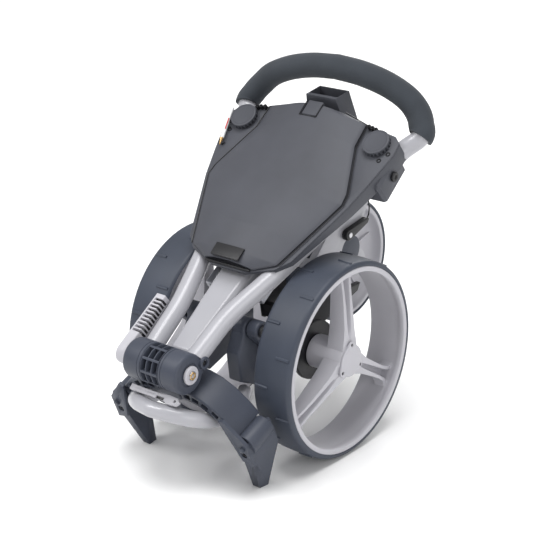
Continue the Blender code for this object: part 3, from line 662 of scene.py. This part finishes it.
def make_cap(side, s):
    """A round accessory cap: a plain top above a notched skirt."""
    centre = CONSOLE @ Matrix.Translation((s * 0.120, 0.2285, DECK))

    def skirt(radius, height, turn):
        if radius < 0.0199 or height > 0.0058:
            return radius
        return radius - 0.0026 * (0.5 + 0.5 * min(1, max(-1, 3 * cos(22 * turn))))

    profile = [(0, 0.0003), (0.0200, 0.0003), (0.0205, 0.0008), (0.0205, 0.0054), (0.0199, 0.0060),
               (0.0205, 0.0064), (0.0205, 0.0080), (0.0203, 0.0086), (0.0197, 0.0090), (0.0176, 0.0090),
               (0.0173, 0.0087), (0.0169, 0.0087), (0.0166, 0.0090), (0, 0.0090)]
    cap = lathe(f"cap_top_{side}", profile, centre, 208, skirt)
    finish(cap, SHELL, f"cap_{side}", (f"accessory_cap_{side}",), 40)


def make_tee_holes(side, s):
    """Tee holders: ringed holes beside the cap, and short posts along the console's top edge."""
    ring = [(0.0015, -0.0015), (0.0034, -0.0015), (0.0034, 0.0009), (0.0030, 0.0013), (0.0024, 0.0013),
            (0.0019, 0.0006)]
    post = [(0.0012, -0.0010), (0.0030, -0.0010), (0.0030, 0.0066), (0.0026, 0.0072), (0.0018, 0.0072),
            (0.0012, 0.0064)]
    hole_places = ((0.1355, 0.2045), (0.1440, 0.2175))
    post_places = ((0.0945, 0.2525), (0.1012, 0.2512), (0.1079, 0.2498))
    pieces = []
    for name, profile, places in (("ring", ring, hole_places), ("post", post, post_places)):
        for x, y in places:
            centre = CONSOLE @ Matrix.Translation((s * x, y, DECK))
            pieces.append(lathe(name, profile, centre, 32))
    finish(merge(f"tee_holes_{side}", pieces), BLACK, "handle")


def make_pencil():
    """A hexagonal score pencil with a gilt point and a printed line."""
    low, high = on_console(-0.1316, 0.172, -0.0165), on_console(-0.1496, 0.239, -0.0165)
    reach = (high - low).normalized()
    body = cylinder("pencil_body", low + reach * 0.012, high, PENCIL_RADIUS, 6)
    body = softened(body, 0.0005)
    finish(body, WHITE, "pencil", ("score_pencil",))
    tip = cylinder("pencil_point", low, low + reach * 0.0125, 0.0006, 24, 0.0029)
    finish(tip, BRASS, "pencil")
    lift = CONSOLE.to_3x3() @ Vector((0.0014, 0, 0.0016))
    line = cylinder("pencil_line", low + reach * 0.028 + lift, low + reach * 0.048 + lift, 0.0014, 6)
    finish(line, RED, "pencil")
    rail = CONSOLE.to_3x3() @ Vector((-0.0060, 0, 0))
    under = CONSOLE.to_3x3() @ Vector((0, 0, -0.0048))
    sunk = CONSOLE.to_3x3() @ Vector((0, 0, -0.0032))
    near, far = sunk - rail, sunk + rail
    route = [low + reach * 0.008 + near, low + reach * 0.004 + under, low + reach * 0.006 + far,
             low + reach * 0.034 + far, low + reach * 0.038 + under, low + reach * 0.036 + near]
    finish(pipe("pencil_loop", route, 0.0010, 8), BLACK, "handle", ("pencil_clip",))


# Legs and rear wheels

def make_leg(side, s):
    body = f"leg_{side}"
    refined(f"leg_{side}", 0.0016)
    refined(f"axle_{side}", 0.0008)
    refined(f"brake_ring_{side}", 0.0010)
    route = [at(s * 0.0652, -0.092, 0.170), at(s * 0.0652, -0.095, 0.150), at(s * 0.0652, -0.082, 0.128),
             at(s * 0.0652, -0.058, 0.116), at(s * 0.0652, -0.0345, 0.1175)]
    finish(pipe(f"cable_{side}", smooth(route, 12), 0.0025, 16), RIM, body, (f"brake_cable_{side}",))


def spoke_section(r, half_width, outer, groove, depth, place, s):
    """A spoke's section: a bar whose outer face has a groove with sloping walls."""
    floor = groove * 0.55
    outline = [(-half_width, SPOKE_BACK), (-half_width, outer), (-groove, outer), (-floor, outer - depth),
               (floor, outer - depth), (groove, outer), (half_width, outer), (half_width, SPOKE_BACK)]
    return [place @ Vector((r, t, s * x)) for t, x in outline]


def make_wheel(side, s):
    about = Matrix.Translation(AXLE) @ SIDE_ON
    body = f"wheel_{side}"
    profile = [(0.1411, 0.0880), (0.1411, 0.1452), (0.1370, 0.1456), (0.1370, 0.1484), (0.1362, 0.1490),
               (0.1312, 0.1490),
               (0.1300, 0.1485), (0.1294, 0.1474), (0.1294, 0.1412), (0.1302, 0.1400), (0.1312, 0.1300),
               (0.1320, 0.1050), (0.1318, 0.0905), (0.1312, 0.0884), (0.1322, 0.0878), (0.1405, 0.0878)]
    rim = lathe(f"wheel_rim_{side}", [(r, s * x) for r, x in profile], about, 144)
    hub = [(0.0066, 0.0856), (0.0235, 0.0856), (0.0245, 0.0866), (0.0245, 0.1436), (0.0235, 0.1452),
           (0.0220, 0.1456), (0.0066, 0.1456)]
    hub = lathe("hub", [(r, s * x) for r, x in hub], about, 96)
    spokes = []
    stations = [(0.018, 0.0165, 0.1444, 0.0030, 0.0004), (0.028, 0.0150, 0.1442, 0.0030, 0.0004),
                (0.038, 0.0128, 0.1438, 0.0034, 0.0030), (0.050, 0.0116, 0.1432, 0.0040, 0.0100),
                (0.080, 0.0104, 0.1405, 0.0048, 0.0140), (0.105, 0.0100, 0.1375, 0.0056, 0.0150),
                (0.118, 0.0112, 0.1358, 0.0062, 0.0150), (0.125, 0.0140, 0.1345, 0.0074, 0.0140),
                (0.1295, 0.0190, 0.1335, 0.0090, 0.0130), (0.1335, 0.0250, 0.1330, 0.0100, 0.0120)]
    for angle in SPOKE_ANGLES:
        place = about @ Matrix.Rotation(radians(angle), 4, "Z")
        sections = [spoke_section(r, w, x, g, d, place, s) for r, w, x, g, d in stations]
        spokes.append(loft("spoke", sections))
    rim = softened(fuse(rim, hub, *spokes), 0.0010, 3, 38)
    finish(rim, RIM, body, (f"rim_{side}",))
    make_tyre(side, s, about, body)
    make_hub_cap(side, s, about, body)


def tyre_radius(x):
    """The tyre's outer radius at a distance from the middle plane."""
    edge = abs(x - 0.118) / 0.031
    return 0.1455 - 0.0014 * edge ** 2 - 0.0030 * max(0.0, (edge - 0.86) / 0.14) ** 2


def make_tyre(side, s, about, body):
    """A rubber tyre with rounded shoulders and straight raised bars across it."""
    profile = [(0.1413, s * 0.0880)]
    steps = 28
    for i in range(steps + 1):
        x = 0.0870 + 0.062 * i / steps
        profile.append((tyre_radius(x), s * x))
    profile += [(0.1376, s * 0.1490), (0.1372, s * 0.1484), (0.1372, s * 0.1462), (0.1413, s * 0.1456)]
    finish(lathe(f"tyre_body_{side}", profile, about, 180), TYRE, body, (f"tyre_{side}",), 50)
    ridges = []
    count = 20
    for i in range(count):
        base = 2 * pi * i / count
        x_from, x_to = (0.1130, 0.0925) if i % 2 == 0 else (0.1230, 0.1440)
        ridges.append(ridge(((base, x_from), (base, x_to)), s, about))
    finish(merge(f"tread_{side}", ridges), TYRE, body, (), 50)


def ridge(ends, s, about):
    """One raised bar on the tread, between two places given as turn and distance from the middle plane."""
    (a0, x0), (a1, x1) = ends
    sections = []
    steps = 6
    mean = WHEEL_RADIUS
    run = Vector(((a1 - a0) * mean, x1 - x0, 0)).normalized()
    side_step = Vector((-run.y, run.x, 0))
    for i in range(steps + 1):
        t = i / steps
        section = []
        for offset, lift in ((-0.0029, -0.0005), (-0.0011, 0.0017), (0.0011, 0.0017), (0.0029, -0.0005)):
            turn = a0 + (a1 - a0) * t + side_step.x * offset / mean
            x = x0 + (x1 - x0) * t + side_step.y * offset
            r = tyre_radius(x) + lift
            section.append(about @ Vector((r * cos(turn), r * sin(turn), s * x)))
        sections.append(section)
    return loft("ridge", sections)


def make_hub_cap(side, s, about, body):
    def lobes(radius, height, turn):
        return radius + (0.0055 * max(0.0, cos(3 * (turn - pi / 2))) ** 2 if radius > 0.01 else 0)

    profile = [(0, 0.1458), (0.0235, 0.1458), (0.0235, 0.1478), (0.0231, 0.1484), (0.0224, 0.1486),
               (0.0200, 0.1487), (0.0192, 0.1491), (0.0180, 0.1492), (0, 0.1492)]
    cap = lathe(f"hub_cover_{side}", [(r, s * x) for r, x in profile], about, 144, lobes)
    holes = []
    screws = []
    for angle in SPOKE_ANGLES:
        turn = radians(angle)
        spot = AXLE + Vector((0, 0.0240 * cos(turn), 0.0240 * sin(turn)))
        step = Vector((s, 0, 0))
        holes.append(cylinder("hole", spot + step * 0.1470, spot + step * 0.16, 0.0028, 24))
        screws.append(cylinder("screw", spot + step * 0.1462, spot + step * 0.1474, 0.0027, 6))
    cap = softened(cut(cap, merge("holes", holes)), 0.0003, 2, 50)
    finish(cap, RIM, body, (f"hub_cap_{side}",), 40)
    finish(merge(f"hub_screws_{side}", screws), BLACK, body)


# Front fork and wheel

def make_front():
    about = Matrix.Translation(FRONT_CENTRE) @ SIDE_ON
    side_profile = [(0.0895, 0.0240), (0.0888, 0.0252), (0.0840, 0.0255), (0.0826, 0.0246), (0.0816, 0.0205),
                    (0.0790, 0.0135), (0.0730, 0.0082), (0.0600, 0.0062), (0.0300, 0.0060), (0.0225, 0.0075),
                    (0.0196, 0.0110), (0.0184, 0.0170), (0.0180, 0.0250), (0.0170, 0.0262), (0.0060, 0.0265)]
    profile = [*side_profile, *[(r, -x) for r, x in reversed(side_profile)]]
    rim = lathe("front_dish", profile, about, 128)
    ribs = []
    for s in (-1, 1):
        for i in range(5):
            place = about @ Matrix.Rotation(radians(18 + 72 * i), 4, "Z")
            x_low, x_high = sorted((s * 0.004, s * 0.0105))
            outline = [(0.017, x_low), (0.017, x_high), (0.076, x_high), (0.081, x_low)]
            rib = wedge("rib", outline, 0.0013, place)
            ribs.append(rib)
    rim = softened(fuse(rim, *ribs), 0.0006, 2, 45)
    finish(rim, RIM, "front_wheel", ("front_rim",))
    tread = [(0.0898, 0.0250)]
    steps = 20
    for i in range(steps + 1):
        x = 0.0262 - 0.0524 * i / steps
        edge = abs(x) / 0.0262
        tread.append((0.0962 - 0.0012 * edge ** 2 - 0.0020 * max(0.0, (edge - 0.8) / 0.2) ** 2, x))
    tread.append((0.0898, -0.0250))
    finish(lathe("front_tyre_body", tread, about, 128), TYRE, "front_wheel", ("front_tyre",), 50)
    refined("front_axle", 0.0008)
    refined("front_fork", 0.0016, 3)
    refined("lower_bag_bracket", 0.0010)
    refined("fork_lever", 0.0014)
    disc = cylinder("fork_boss", at(0.0370, 0.142, 0.249), at(0.0406, 0.142, 0.249), 0.0235, 64)
    finish(softened(disc, 0.0012), CASTING, "fork")
    pivot = at(0, 0.127, 0.279)
    rivet = cylinder("lever_rivet", pivot + Vector((0.0480, 0, 0)), pivot + Vector((0.0515, 0, 0)),
                     0.0042, 32)
    finish(softened(rivet, 0.0008), STEEL, "fork_lever")
    cord = [at(0.0455, 0.1735, 0.2905), at(0.0455, 0.1795, 0.2980), at(0.0455, 0.1800, 0.3120),
            at(0.0450, 0.1765, 0.3230), at(0.0440, 0.1700, 0.3290)]
    finish(pipe("lever_cord", smooth(cord, 8), 0.0010, 12), BLACK, "fork_lever")


def wedge(name, outline, half_width, place):
    """A thin upright plate: outline holds (radius, height) in the plane through a frame's x and z."""
    sections = [[place @ Vector((r, t, x)) for r, x in outline] for t in (-half_width, half_width)]
    return loft(name, sections)


make_camera()
make_studio()
make_beam()
make_hinge()
make_clamp()
make_bracket()
make_handle()
make_lid()
make_console()
make_pencil()
for wheel_side, wheel_sign in SIDES.items():
    make_leg(wheel_side, wheel_sign)
    make_wheel(wheel_side, wheel_sign)
make_front()
